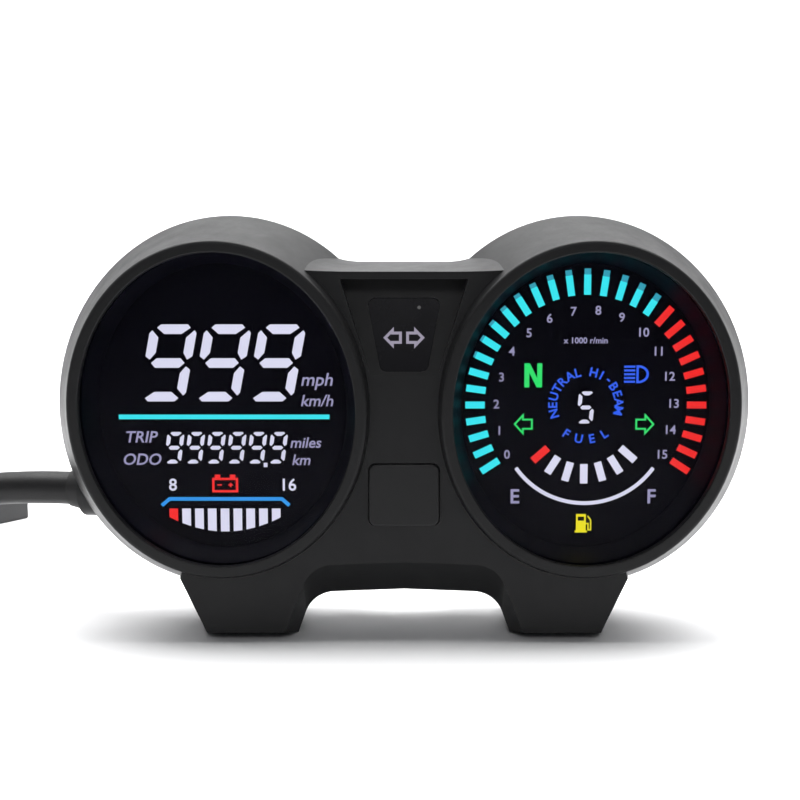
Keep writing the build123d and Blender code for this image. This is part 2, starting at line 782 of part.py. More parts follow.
lead_radius = 0.8
lead_pitch = 1.9
lead_start = gland_plane.offset(boss_end - gland_length).location
with BuildPart() as inner_leads:
    for lead in range(5):
        begin = lead_start * Pos((lead - 2) * lead_pitch, 0, 0)
        first = begin.position
        heading = gland_plane.z_dir
        pin = Vector(header_x, board_back + header_depth - half_depth, header_z - 8 + 4 * lead)
        points = [
            first,
            first - heading * 4,
            pin + Vector(0, 5, 0),
            pin,
        ]
        with BuildLine() as way:
            FilletPolyline(*points, radius=1.6)
        with BuildSketch(Plane(origin=first, z_dir=-heading)):
            Circle(lead_radius)
        sweep(path=way.line)
export(inner_leads, "inner_leads")

exit_point = (-gland_end, cable_depth - half_depth, cable_height)
route = [Vector(*exit_point)] + [Vector(*point) for point in cable_route]
radii = []
for before, point, after in zip(route, route[1:], route[2:]):
    half_turn = math.radians((point - before).get_angle(after - point)) / 2
    radii.append(0.45 * min((point - before).length, (after - point).length) / math.tan(half_turn))
print("cable bend radii", [round(radius, 1) for radius in radii])

with BuildPart() as loom_cable:
    with BuildLine() as cable_path:
        FilletPolyline(*route, radius=radii)
    with BuildSketch(gland_plane):
        Circle(cable_radius)
    sweep(path=cable_path.line)
cable_length = sum(edge.length for edge in cable_path.edges())
expected = math.pi * cable_radius**2 * cable_length
print("cable length", round(cable_length, 1), "volume share", round(loom_cable.part.volume / expected, 4))
export(loom_cable, "loom_cable")

end = route[-1]
end_heading = (route[-1] - route[-2]).normalized()
plug_plane = Plane(origin=end, x_dir=(0, 0, 1), z_dir=end_heading)
plug_centre = plug_height / 2 - end.Z  # lies on the floor


def plug_block(along, length, height, width, rise=0.0):
    """Box along the plug's axis, resting about its own middle."""
    with BuildSketch(plug_plane.offset(along)) as outline:
        with Locations((plug_centre + rise, 0)):
            Rectangle(height, width)
    return extrude(outline.sketch, amount=length, mode=Mode.PRIVATE)


with BuildPart() as loom_plug:
    add(plug_block(0, plug_length, plug_height, plug_width))
    fillet(loom_plug.edges().filter_by(lambda e: abs(e.length - plug_length) < 0.01), 1.2)
    add(plug_block(plug_length - 9, 10, plug_height - 3.6, plug_width - 3.6), mode=Mode.SUBTRACT)
export(loom_plug, "loom_plug")

with BuildPart() as plug_pins:
    for row in (-1.9, 1.9):
        for column in range(-3, 4):
            pin = plug_block(plug_length - 9, 7, 0.8, 0.8)
            shift = plug_plane.x_dir * row + plug_plane.y_dir * (column * 2.6)
            add(pin.moved(Location(shift)))
export(plug_pins, "plug_pins")

with BuildPart() as plug_lock:
    add(plug_block(6, 14, 1.4, 7.0, rise=plug_height / 2 + 0.7))
    add(plug_block(17, 3, 1.2, 9.0, rise=plug_height / 2 + 2.0))
export(plug_lock, "plug_lock")
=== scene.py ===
import math

import bpy
import numpy as np
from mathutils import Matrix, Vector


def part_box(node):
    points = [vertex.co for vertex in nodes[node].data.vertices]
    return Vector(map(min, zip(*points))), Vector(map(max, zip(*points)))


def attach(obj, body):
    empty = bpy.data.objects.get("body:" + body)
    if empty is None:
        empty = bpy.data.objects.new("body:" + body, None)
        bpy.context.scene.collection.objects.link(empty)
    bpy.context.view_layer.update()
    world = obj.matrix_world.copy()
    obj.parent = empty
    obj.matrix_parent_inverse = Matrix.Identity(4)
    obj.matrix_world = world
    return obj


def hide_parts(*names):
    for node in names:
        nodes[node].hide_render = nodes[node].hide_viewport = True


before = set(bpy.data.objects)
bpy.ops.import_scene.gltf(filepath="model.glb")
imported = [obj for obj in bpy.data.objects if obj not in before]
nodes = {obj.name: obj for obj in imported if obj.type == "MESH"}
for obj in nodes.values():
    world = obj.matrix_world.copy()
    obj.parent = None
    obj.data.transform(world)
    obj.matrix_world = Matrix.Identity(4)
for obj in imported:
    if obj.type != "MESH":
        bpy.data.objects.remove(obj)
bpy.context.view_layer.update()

mm = 0.001

# Motorcycle instrument cluster. X runs across the dials, Y runs from the rider to the rear, Z is up.

# camera: place in metres, tilt in degrees, lens in millimetres
cameraView = dict(place=(0.0, -0.428, 0.1243), tiltDown=5.89, lens=54.54, shiftX=-0.005)


def addCamera(values):
    # a level view along +Y, turned down by the tilt: the turn about X is 90 degrees less the tilt
    data = bpy.data.cameras.new("riderCamera")
    data.lens = values["lens"]
    data.shift_x = values["shiftX"]
    data.clip_start = 0.01
    camera = bpy.data.objects.new("riderCamera", data)
    camera.location = values["place"]
    camera.rotation_euler = (math.radians(90 - values["tiltDown"]), 0, 0)
    bpy.context.scene.collection.objects.link(camera)
    bpy.context.scene.camera = camera


addCamera(cameraView)
print("camera placed")


def newMesh(name, points, faces, materials, faceMaterials=None, smooth=False):
    # points and faces go straight into one mesh at the origin
    mesh = bpy.data.meshes.new(name)
    mesh.from_pydata(np.asarray(points).tolist(), [], faces)
    for material in materials:
        mesh.materials.append(material)
    if faceMaterials is not None:
        mesh.polygons.foreach_set("material_index", np.asarray(faceMaterials, dtype=np.int32))
    mesh.polygons.foreach_set("use_smooth", np.full(len(mesh.polygons), smooth))
    mesh.update()
    piece = bpy.data.objects.new(name, mesh)
    bpy.context.scene.collection.objects.link(piece)
    return piece


def gridFaces(rows, columns):
    # quads between neighbouring points of a grid: the first corner is row times columns plus column
    first = (np.arange(rows - 1)[:, None] * columns + np.arange(columns - 1)).ravel()
    return np.stack([first, first + 1, first + columns + 1, first + columns], axis=1).tolist()


# shared surface effects: scales are per metre, the other values are shares
effects = dict(
    grain=dict(pebbleShare=0.6, fineDetail=3.0, slowDetail=2.0, patchScale=90.0, patchDetail=4.0,
               patchRoughness=0.65),
    wear=dict(samples=4, scale=160.0, detail=5.0, roughness=0.7, gain=4.0),
    dust=dict(scale=700.0, detail=6.0, roughness=0.75, power=3.0),
)


def newGroup(name, inputs, outputs):
    # empty shader group with named sockets: (name, kind, default)
    group = bpy.data.node_groups.new(name, "ShaderNodeTree")
    for label, kind, default in inputs:
        socket = group.interface.new_socket(name=label, in_out="INPUT", socket_type=kind)
        socket.default_value = default
    for label, kind in outputs:
        group.interface.new_socket(name=label, in_out="OUTPUT", socket_type=kind)
    return group, group.nodes.new("NodeGroupInput"), group.nodes.new("NodeGroupOutput")


def addMath(tree, operation, first, second=None):
    # one Math node fed by sockets or numbers
    node = tree.nodes.new("ShaderNodeMath")
    node.operation = operation
    for index, value in enumerate((first, second)):
        if value is None:
            continue
        if isinstance(value, (int, float)):
            node.inputs[index].default_value = value
        else:
            tree.links.new(value, node.inputs[index])
    return node.outputs[0]


def addNoise(tree, vector, scale, detail, roughness=0.55):
    # one Noise node, whose scale is a number or a socket
    node = tree.nodes.new("ShaderNodeTexNoise")
    tree.links.new(vector, node.inputs["Vector"])
    if isinstance(scale, (int, float)):
        node.inputs["Scale"].default_value = scale
    else:
        tree.links.new(scale, node.inputs["Scale"])
    node.inputs["Detail"].default_value = detail
    node.inputs["Roughness"].default_value = roughness
    return node.outputs["Fac"]


def buildGrain():
    # moulded surface: height is a share of the pebbles plus fine noise, tint is slow noise,
    # gloss is noise in patches
    values = effects["grain"]
    group, given, out = newGroup(
        "mouldedGrain",
        [("Scale", "NodeSocketFloat", 2400.0), ("Swell", "NodeSocketFloat", 30.0)],
        [("Height", "NodeSocketFloat"), ("Tint", "NodeSocketFloat"), ("Gloss", "NodeSocketFloat")],
    )
    place = group.nodes.new("ShaderNodeTexCoord").outputs["Object"]
    pebble = group.nodes.new("ShaderNodeTexVoronoi")
    group.links.new(place, pebble.inputs["Vector"])
    group.links.new(given.outputs["Scale"], pebble.inputs["Scale"])
    fine = addNoise(group, place, given.outputs["Scale"], values["fineDetail"])
    slow = addNoise(group, place, given.outputs["Swell"], values["slowDetail"])
    patches = addNoise(group, place, values["patchScale"], values["patchDetail"], values["patchRoughness"])
    pebbles = addMath(group, "MULTIPLY", pebble.outputs["Distance"], values["pebbleShare"])
    height = addMath(group, "ADD", pebbles, fine)
    group.links.new(height, out.inputs["Height"])
    group.links.new(slow, out.inputs["Tint"])
    group.links.new(patches, out.inputs["Gloss"])
    return group


def buildEdgeWear():
    # mask of worn edges: one less the dot product of the rounded and the flat normal, times a gain,
    # times noise, times the amount
    values = effects["wear"]
    group, given, out = newGroup(
        "edgeWear",
        [("Width", "NodeSocketFloat", 0.0004), ("Amount", "NodeSocketFloat", 0.5)],
        [("Mask", "NodeSocketFloat")],
    )
    bevel = group.nodes.new("ShaderNodeBevel")
    bevel.samples = values["samples"]
    group.links.new(given.outputs["Width"], bevel.inputs["Radius"])
    surface = group.nodes.new("ShaderNodeNewGeometry")
    turn = group.nodes.new("ShaderNodeVectorMath")
    turn.operation = "DOT_PRODUCT"
    group.links.new(bevel.outputs["Normal"], turn.inputs[0])
    group.links.new(surface.outputs["Normal"], turn.inputs[1])
    edge = addMath(group, "SUBTRACT", 1.0, turn.outputs["Value"])
    place = group.nodes.new("ShaderNodeTexCoord").outputs["Object"]
    broken = addNoise(group, place, values["scale"], values["detail"], values["roughness"])
    strong = addMath(group, "MULTIPLY", addMath(group, "MULTIPLY", edge, values["gain"]), broken)
    clamp = group.nodes.new("ShaderNodeClamp")
    group.links.new(addMath(group, "MULTIPLY", strong, given.outputs["Amount"]), clamp.inputs["Value"])
    group.links.new(clamp.outputs[0], out.inputs["Mask"])
    return group


def buildDust():
    # mask of settled dust: the upward part of the normal, times noise raised to a power, times
    # the amount
    values = effects["dust"]
    group, given, out = newGroup(
        "settledDust",
        [("Amount", "NodeSocketFloat", 0.2)],
        [("Mask", "NodeSocketFloat")],
    )
    surface = group.nodes.new("ShaderNodeNewGeometry")
    parts = group.nodes.new("ShaderNodeSeparateXYZ")
    group.links.new(surface.outputs["Normal"], parts.inputs[0])
    up = addMath(group, "MAXIMUM", parts.outputs["Z"], 0.0)
    place = group.nodes.new("ShaderNodeTexCoord").outputs["Object"]
    noise = addNoise(group, place, values["scale"], values["detail"], values["roughness"])
    speckle = addMath(group, "POWER", noise, values["power"])
    dust = addMath(group, "MULTIPLY", addMath(group, "MULTIPLY", up, speckle), given.outputs["Amount"])
    group.links.new(dust, out.inputs["Mask"])
    return group


grainGroup = buildGrain()
wearGroup = buildEdgeWear()
dustGroup = buildDust()
print("shared effects built")


def placeGroup(tree, group, **values):
    # one shared effect in a material, with its sockets set by name
    node = tree.nodes.new("ShaderNodeGroup")
    node.node_tree = group
    for name, value in values.items():
        node.inputs[name].default_value = value
    return node


def mixColours(tree, factor, first, second):
    # colour between first and second by a mask
    mix = tree.nodes.new("ShaderNodeMix")
    mix.data_type = "RGBA"
    tree.links.new(factor, mix.inputs[0])
    for index, value in ((6, first), (7, second)):
        if isinstance(value, tuple):
            mix.inputs[index].default_value = (*value, 1.0)
        else:
            tree.links.new(value, mix.inputs[index])
    return mix.outputs[2]


def newFinish(name):
    # empty material with its tree and its Principled shader
    material = bpy.data.materials.new(name)
    material.use_nodes = True
    tree = material.node_tree
    return material, tree, tree.nodes["Principled BSDF"]


# what every surface shares: colour of dust, the part of the gloss noise that is used, bump strength
surfaceDetail = dict(dustColour=(0.32, 0.31, 0.29), glossRange=(0.3, 0.7), bumpStrength=0.6)


def surfaceFinish(name, dark, light, rough, scale=2400.0, depth=0.00003, metallic=0.0, wear=None,
                  dust=0.0, **sockets):
    # base colour runs dark to light with the slow tint, then worn edges and dust go over it;
    # roughness runs between its two values with the gloss patches; other sockets are set by name
    material, tree, shader = newFinish(name)
    grain = placeGroup(tree, grainGroup, Scale=scale)
    colour = mixColours(tree, grain.outputs["Tint"], dark, light)
    if wear:
        worn = placeGroup(tree, wearGroup, Width=wear["width"], Amount=wear["amount"])
        colour = mixColours(tree, worn.outputs["Mask"], colour, wear["colour"])
    if dust:
        settled = placeGroup(tree, dustGroup, Amount=dust)
        colour = mixColours(tree, settled.outputs["Mask"], colour, surfaceDetail["dustColour"])
    tree.links.new(colour, shader.inputs["Base Color"])
    spread = tree.nodes.new("ShaderNodeMapRange")
    for side, ends in (("From", surfaceDetail["glossRange"]), ("To", rough)):
        spread.inputs[side + " Min"].default_value, spread.inputs[side + " Max"].default_value = ends
    tree.links.new(grain.outputs["Gloss"], spread.inputs["Value"])
    tree.links.new(spread.outputs["Result"], shader.inputs["Roughness"])
    bump = tree.nodes.new("ShaderNodeBump")
    bump.inputs["Strength"].default_value = surfaceDetail["bumpStrength"]
    bump.inputs["Distance"].default_value = depth
    tree.links.new(grain.outputs["Height"], bump.inputs["Height"])
    tree.links.new(bump.outputs["Normal"], shader.inputs["Normal"])
    shader.inputs["Metallic"].default_value = metallic
    for socket, value in sockets.items():
        shader.inputs[socket.replace("_", " ")].default_value = value
    return material


# finishes of the moulded, rubber and metal parts: dark and light ends of the base colour, range of
# roughness, then what differs from the usual values of surfaceFinish
surfaceLooks = {
    "housingBlack": dict(
        dark=(0.0085, 0.0086, 0.0092), light=(0.0125, 0.0126, 0.0132), rough=(0.38, 0.48), dust=0.10,
        wear=dict(width=0.0005, amount=0.5, colour=(0.05, 0.05, 0.052)), Specular_IOR_Level=0.2,
    ),
    "tunnelBlack": dict(
        dark=(0.004, 0.004, 0.008), light=(0.007, 0.0065, 0.013), rough=(0.45, 0.6),
        Specular_IOR_Level=0.1,
    ),
    "buttonBlack": dict(
        dark=(0.013, 0.013, 0.0135), light=(0.017, 0.017, 0.0175), rough=(0.40, 0.48), scale=3000.0,
        wear=dict(width=0.0004, amount=0.5, colour=(0.08, 0.08, 0.08)), Specular_IOR_Level=0.25,
    ),
    "sealRubber": dict(dark=(0.010, 0.010, 0.010), light=(0.018, 0.018, 0.018), rough=(0.6, 0.75), dust=0.3),
    "bushRubber": dict(dark=(0.014, 0.014, 0.014), light=(0.022, 0.021, 0.020), rough=(0.62, 0.8), dust=0.4),
    "glandRubber": dict(
        dark=(0.008, 0.008, 0.0085), light=(0.013, 0.013, 0.0135), rough=(0.5, 0.65), dust=0.15,
        Specular_IOR_Level=0.25,
    ),
    "filmBlack": dict(
        dark=(0.0016, 0.0015, 0.0040), light=(0.0028, 0.0025, 0.0070), rough=(0.5, 0.6), depth=0.000005,
        Specular_IOR_Level=0.05,
    ),
    "lightBoxWhite": dict(dark=(0.70, 0.70, 0.68), light=(0.80, 0.80, 0.79), rough=(0.5, 0.6)),
    "ledCream": dict(dark=(0.72, 0.66, 0.42), light=(0.80, 0.75, 0.52), rough=(0.3, 0.4)),
    "boardGreen": dict(
        dark=(0.012, 0.075, 0.030), light=(0.018, 0.100, 0.042), rough=(0.3, 0.4), scale=5000.0,
    ),
    "chipBlack": dict(
        dark=(0.012, 0.012, 0.012), light=(0.020, 0.020, 0.020), rough=(0.5, 0.6), scale=6000.0,
    ),
    "canAluminium": dict(
        dark=(0.62, 0.63, 0.64), light=(0.72, 0.73, 0.74), rough=(0.25, 0.38), metallic=1.0,
    ),
    "connectorWhite": dict(dark=(0.68, 0.66, 0.60), light=(0.77, 0.75, 0.69), rough=(0.4, 0.5), dust=0.2),
    "pinBrass": dict(dark=(0.62, 0.44, 0.16), light=(0.75, 0.56, 0.24), rough=(0.2, 0.34), metallic=1.0),
    "screwSteel": dict(dark=(0.38, 0.38, 0.39), light=(0.50, 0.50, 0.51), rough=(0.28, 0.42), metallic=1.0),
    "zincSteel": dict(
        dark=(0.46, 0.46, 0.45), light=(0.60, 0.59, 0.55), rough=(0.3, 0.46), metallic=1.0, dust=0.2,
    ),
    "switchBlack": dict(dark=(0.015, 0.015, 0.015), light=(0.022, 0.022, 0.022), rough=(0.45, 0.55)),
    "leadRed": dict(dark=(0.30, 0.012, 0.010), light=(0.42, 0.020, 0.016), rough=(0.4, 0.5)),
    "loomSleeve": dict(
        dark=(0.007, 0.007, 0.0075), light=(0.011, 0.011, 0.0115), rough=(0.42, 0.52), scale=1500.0,
        depth=0.00006, dust=0.1, Specular_IOR_Level=0.25,
    ),
    "plugBlack": dict(dark=(0.016, 0.016, 0.017), light=(0.024, 0.024, 0.025), rough=(0.42, 0.55), dust=0.25),
    "smokedWindow": dict(
        dark=(0.0025, 0.0024, 0.0040), light=(0.0035, 0.0033, 0.0055), rough=(0.22, 0.30), depth=0.000002,
        Specular_IOR_Level=0.12,
    ),
}
finishes = {name: surfaceFinish(name, **look) for name, look in surfaceLooks.items()}

# clear lens: tint of the plastic, alpha seen straight on and at a glance
lensLook = dict(tint=(0.003, 0.0025, 0.008), low=0.02, high=0.45, rough=0.03, lighter=1.25, grainScale=900.0,
                refraction=1.45, fullMirror=0.5)


def glassFinish(name, look):
    # clear where seen straight on, more of a mirror at a glance: alpha runs low to high as the
    # Fresnel share runs from none to fullMirror
    material, tree, shader = newFinish(name)
    grain = placeGroup(tree, grainGroup, Scale=look["grainScale"])
    lighter = tuple(channel * look["lighter"] for channel in look["tint"])
    tint = mixColours(tree, grain.outputs["Tint"], look["tint"], lighter)
    tree.links.new(tint, shader.inputs["Base Color"])
    fresnel = tree.nodes.new("ShaderNodeFresnel")
    fresnel.inputs["IOR"].default_value = look["refraction"]
    spread = tree.nodes.new("ShaderNodeMapRange")
    spread.inputs["From Max"].default_value = look["fullMirror"]
    spread.inputs["To Min"].default_value = look["low"]
    spread.inputs["To Max"].default_value = look["high"]
    tree.links.new(fresnel.outputs[0], spread.inputs["Value"])
    tree.links.new(spread.outputs["Result"], shader.inputs["Alpha"])
    shader.inputs["Roughness"].default_value = look["rough"]
    shader.inputs["IOR"].default_value = look["refraction"]
    return material


finishes["clearLens"] = glassFinish("clearLens", lensLook)

# which CAD parts take which finish
nodeFinishes = {
    "housingBlack": ["front_cover", "rear_cover"],
    "tunnelBlack": ["left_tunnel", "right_tunnel", "button_guide"],
    "buttonBlack": ["mode_button"],
    "sealRubber": ["left_lens_seal", "right_lens_seal", "housing_seal", "button_seal", "breather_plugs"],
    "bushRubber": ["mount_bushes"],
    "glandRubber": ["cable_gland"],
    "filmBlack": ["left_dial_film", "right_dial_film"],
    "lightBoxWhite": ["left_light_box", "right_light_box", "indicator_light_box"],
    "ledCream": ["left_leds", "right_leds", "indicator_leds"],
    "boardGreen": ["main_board"],
    "chipBlack": ["controller", "driver_chips", "regulator"],
    "canAluminium": ["capacitors", "crystal"],
    "connectorWhite": ["board_header"],
    "pinBrass": ["plug_pins"],
    "screwSteel": ["board_screws", "cover_screws"],
    "zincSteel": ["mount_sleeves", "upper_stud", "stud_washer"],
    "switchBlack": ["switch_body", "switch_plunger"],
    "leadRed": ["inner_leads"],
    "plugBlack": ["loom_plug", "plug_lock"],
    "clearLens": ["left_lens", "right_lens"],
    "smokedWindow": ["indicator_window"],
}
for finish, names in nodeFinishes.items():
    for name in names:
        mesh = nodes[name].data
        if not mesh.materials:
            mesh.materials.append(finishes[finish])
        for index in range(len(mesh.materials)):
            mesh.materials[index] = finishes[finish]
print("finishes placed on", sum(len(names) for names in nodeFinishes.values()), "parts")

# loom: one smooth cord from the gland to its plug, in metres
loom = dict(
    exit=(-0.122, 0.0145, 0.046),
    route=[
        (-0.1533, 0.02115, 0.0460),
        (-0.1870, 0.0305, 0.0365),
        (-0.2135, 0.0470, 0.0200),
        (-0.2320, 0.0730, 0.0076),
        (-0.2400, 0.1070, 0.0064),
        (-0.2350, 0.1400, 0.0064),
        (-0.2190, 0.1660, 0.0064),
    ],
    diameter=0.0122,
    length=0.2344,
    stepsAlong=24,
    stepsRound=8,
)


def addLoom(values):
    # quadratic spline whose control points are the route, with a round section
    curve = bpy.data.curves.new("loomSleeve", "CURVE")
    curve.dimensions = "3D"
    spline = curve.splines.new("NURBS")
    points = np.array([values["exit"]] + values["route"])
    spline.points.add(len(points) - 1)
    spline.points.foreach_set("co", np.hstack([points, np.ones((len(points), 1))]).ravel())
    spline.order_u = 3
    spline.use_endpoint_u = True
    spline.resolution_u = values["stepsAlong"]
    curve.bevel_depth = values["diameter"] / 2
    curve.bevel_resolution = values["stepsRound"]
    curve.use_fill_caps = True
    curve.materials.append(finishes["loomSleeve"])
    cord = bpy.data.objects.new("loomSleeve", curve)
    bpy.context.scene.collection.objects.link(cord)
    return cord


loomPiece = addLoom(loom)
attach(loomPiece, "housing")
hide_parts("loom_cable")
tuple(loom["exit"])
print("loom laid")

# lit graphics of both displays: what every lit cell shares
litLook = dict(grainScale=900.0, dimmer=0.86, dark=(0.010, 0.010, 0.012), light=(0.014, 0.014, 0.016),
               rough=0.6)


def litFinish(name, colour, strength):
    # lit cell: emission runs a little uneven over the cell, from a dimmer share to the full colour
    material, tree, shader = newFinish(name)
    grain = placeGroup(tree, grainGroup, Scale=litLook["grainScale"])
    dimmer = tuple(channel * litLook["dimmer"] for channel in colour)
    tree.links.new(mixColours(tree, grain.outputs["Tint"], dimmer, colour), shader.inputs["Emission Color"])
    shader.inputs["Emission Strength"].default_value = strength
    unlit = mixColours(tree, grain.outputs["Gloss"], litLook["dark"], litLook["light"])
    tree.links.new(unlit, shader.inputs["Base Color"])
    shader.inputs["Roughness"].default_value = litLook["rough"]
    return material


# colour and strength of each kind of cell
cellColours = {
    "cellWhite": ((0.80, 0.80, 1.0), 1.0),
    "cellLilac": ((0.42, 0.40, 0.66), 0.9),
    "cellCyan": ((0.03, 0.90, 1.0), 1.0),
    "cellTeal": ((0.03, 0.42, 0.58), 0.9),
    "cellDeep": ((0.02, 0.20, 0.36), 0.9),
    "cellRed": ((1.0, 0.012, 0.010), 1.0),
    "cellGreen": ((0.02, 0.85, 0.16), 1.0),
    "cellBlue": ((0.02, 0.12, 1.0), 1.0),
    "cellSky": ((0.015, 0.33, 0.92), 1.0),
    "cellYellow": ((0.95, 0.85, 0.0), 1.0),
    "cellMark": ((0.34, 0.31, 0.40), 1.0),
    # painted glint: a faint grey glow for the small dot above the right window arrow, not a lit sign
    "cellPaintedGlint": ((0.09, 0.09, 0.09), 1.0),
}
cellFinishes = {name: litFinish(name, *look) for name, look in cellColours.items()}
cellNames = list(cellFinishes)


def closedLoop(points):
    # same outline, turned counter-clockwise: twice the area is the sum of the cross products
    points = np.asarray(points, dtype=float)
    nextPoints = np.roll(points, -1, axis=0)
    area = np.sum(points[:, 0] * nextPoints[:, 1] - nextPoints[:, 0] * points[:, 1])
    return points if area > 0 else points[::-1]


# least squared length of a mitre, which keeps sharp corners from running out
sharpestMitre = 0.5


def stroke(points, width, closed=False):
    # quads along a line: each point moves both ways along its mitre, the sum of the two unit sides,
    # by the width over the mitre's squared length
    points = np.asarray(points, dtype=float)
    if closed:
        before, after = np.roll(points, 1, axis=0), np.roll(points, -1, axis=0)
    else:
        before = np.vstack([2 * points[0] - points[1], points[:-1]])
        after = np.vstack([points[1:], 2 * points[-1] - points[-2]])
    back, ahead = points - before, after - points
    back /= np.linalg.norm(back, axis=1)[:, None]
    ahead /= np.linalg.norm(ahead, axis=1)[:, None]
    sideBack = np.stack([-back[:, 1], back[:, 0]], 1)
    sideAhead = np.stack([-ahead[:, 1], ahead[:, 0]], 1)
    mitre = sideBack + sideAhead
    mitre *= (width / np.maximum(np.sum(mitre * mitre, axis=1), sharpestMitre))[:, None]
    left, right = points + mitre, points - mitre
    if closed:
        left, right = np.vstack([left, left[:1]]), np.vstack([right, right[:1]])
    return list(np.stack([left[:-1], left[1:], right[1:], right[:-1]], axis=1))


def arcPoints(centre, radius, start, stop, count):
    # points on a circle or oval between two angles in degrees
    angles = np.radians(np.linspace(start, stop, count))
    reach = np.broadcast_to(radius, 2)
    return np.stack([centre[0] + reach[0] * np.cos(angles), centre[1] + reach[1] * np.sin(angles)], axis=1)


def bar(centre, angle, length, width):
    # rectangle with its long side along an angle in degrees
    turn = math.radians(angle)
    along = np.array([math.cos(turn), math.sin(turn)])
    across = np.array([-math.sin(turn), math.cos(turn)])
    corners = np.array([[-1, -1], [1, -1], [1, 1], [-1, 1]]) / 2
    return np.asarray(centre) + corners[:, :1] * length * along + corners[:, 1:] * width * across


def arrow(values, side, centre):
    # outline of a block arrow about its centre, pointing right where side is 1 and left where it is -1
    tip, neck, head, shaft, tail = (values[key] for key in ("tip", "neck", "head", "shaft", "tail"))
    right = [(tip, 0), (neck, head), (neck, shaft), (-tail, shaft), (-tail, -shaft), (neck, -shaft),
             (neck, -head)]
    return np.array(right) * [side, 1] + centre


def cells(colour, outlines):
    # outlines with the name of their colour
    return [(colour, outline) for outline in outlines]


def letters(colour, rows, **extra):
    # words with the name of their colour: each row is text, size and centre
    return [(colour, text, size, centre, extra) for text, size, centre in rows]


# which of the seven bars each digit lights, and how the ends of the bars are cut: shares of the
# bar's thickness, of half of it for the corners, and of the gap for the two gaps
digitParts = {"9": "abcdfg", "5": "acdfg"}
digitCuts = dict(corner=0.3, outerRun=0.35, innerRun=0.85, middleGap=1.3, endGap=0.6, innerLow=0.55,
                 innerHigh=0.75, tipIn=0.5, outerHigh=0.3, outerLow=0.2, toe=0.15)


def digit(shown, centre, row):
    # seven bars with cut ends in a box, sheared by the slant: x grows by height times its tangent
    thick, gap, cuts = row["thick"], row["gap"], digitCuts
    right, top, half = row["width"] / 2, row["height"] / 2, thick / 2
    reach = right - half - gap
    corner = cuts["corner"] * half
    outer, inner = reach - cuts["outerRun"] * thick, reach - cuts["innerRun"] * thick
    level = np.array([[-reach, corner], [-outer, half], [outer, half], [reach, corner], [inner, -half],
                      [-inner, -half]])
    middle = np.array([[-reach, 0], [-reach + half, half], [reach - half, half], [reach, 0],
                       [reach - half, -half], [-reach + half, -half]])
    low, high = half / 2 + gap * cuts["middleGap"], top - half - gap * cuts["endGap"]
    side = np.array([
        [right - thick, low + cuts["innerLow"] * thick],
        [right - thick, high - cuts["innerHigh"] * thick],
        [right - half * cuts["tipIn"], high],
        [right, high - cuts["outerHigh"] * thick],
        [right, low + cuts["outerLow"] * thick],
        [right - half, low - cuts["toe"] * thick],
    ])
    bars = {
        "a": level + [0, top - half],
        "g": middle,
        "d": level * [1, -1] - [0, top - half],
        "b": side,
        "f": side * [-1, 1],
        "c": side * [1, -1],
    }
    shear = math.tan(math.radians(row["slant"]))
    outlines = []
    for part in digitParts[shown]:
        points = bars[part].copy()
        points[:, 0] += shear * points[:, 1]
        outlines.append(points + centre)
    return outlines


def digitRow(text, row):
    # digits side by side, each one pitch to the right of the last
    outlines = []
    for index, shown in enumerate(text):
        outlines += digit(shown, (row["first"][0] + index * row["pitch"], row["first"][1]), row)
    return outlines


def raisePlates(outlines, place):
    # each outline becomes a thin closed plate: a front ring, a back ring and the sides between them
    points, faces, finish, start = [], [], [], 0
    for cell, outline in outlines:
        loop = closedLoop(outline)
        count = len(loop)
        points.append(np.vstack([place(loop, 0.0), place(loop, 1.0)]))
        ring = start + np.arange(count)
        after = np.roll(ring, -1)
        faces += [ring.tolist(), (ring[::-1] + count).tolist()]
        faces += np.stack([ring, ring + count, after + count, after], axis=1).tolist()
        finish += [cellNames.index(cell)] * (count + 2)
        start += 2 * count
    return np.vstack(points), faces, finish


def letterPlates(text, size, centre, turn=0.0, shear=0.0, bold=0.0, thickness=0.1):
    # flat letters from the built-in font as a mesh: the middle of the word goes to the centre, turned
    # by an angle in degrees; depth runs 0 front to 1 back
    curve = bpy.data.curves.new("letters", "FONT")
    curve.body = text
    curve.size = size
    curve.shear = shear
    curve.offset = bold
    curve.extrude = thickness / 2
    curve.resolution_u = 3
    source = bpy.data.objects.new("letters", curve)
    mesh = bpy.data.meshes.new_from_object(source)
    points = np.empty(len(mesh.vertices) * 3)
    mesh.vertices.foreach_get("co", points)
    points = points.reshape(-1, 3)
    points[:, :2] -= (points[:, :2].min(axis=0) + points[:, :2].max(axis=0)) / 2
    angle = math.radians(turn)
    turned = points.copy()
    turned[:, 0] = points[:, 0] * math.cos(angle) - points[:, 1] * math.sin(angle) + centre[0]
    turned[:, 1] = points[:, 0] * math.sin(angle) + points[:, 1] * math.cos(angle) + centre[1]
    turned[:, 2] = 0.5 - points[:, 2] / thickness
    faces = [list(polygon.vertices) for polygon in mesh.polygons]
    bpy.data.objects.remove(source)
    bpy.data.meshes.remove(mesh)
    return turned, faces


def buildReadout(name, outlines, letters, place):
    # every plate and letter of one display in one mesh, with a finish for each colour; place turns
    # flat millimetres and a depth into metres
    points, faces, finish = raisePlates(outlines, place)
    allPoints = [points]
    count = len(points)
    for cell, text, size, centre, extra in letters:
        flat, textFaces = letterPlates(text, size, centre, **extra)
        allPoints.append(place(flat[:, :2], flat[:, 2:]))
        faces += [[index + count for index in face] for face in textFaces]
        finish += [cellNames.index(cell)] * len(textFaces)
        count += len(flat)
    piece = newMesh(name, np.vstack(allPoints), faces, list(cellFinishes.values()), finish)
    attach(piece, "housing")
    print(name, "has", len(faces), "faces")
    return piece


def depthColumn(depth, count):
    # one depth for each point, from a single number or a column
    return np.broadcast_to(np.asarray(depth, dtype=float).reshape(-1, 1), (count, 1))


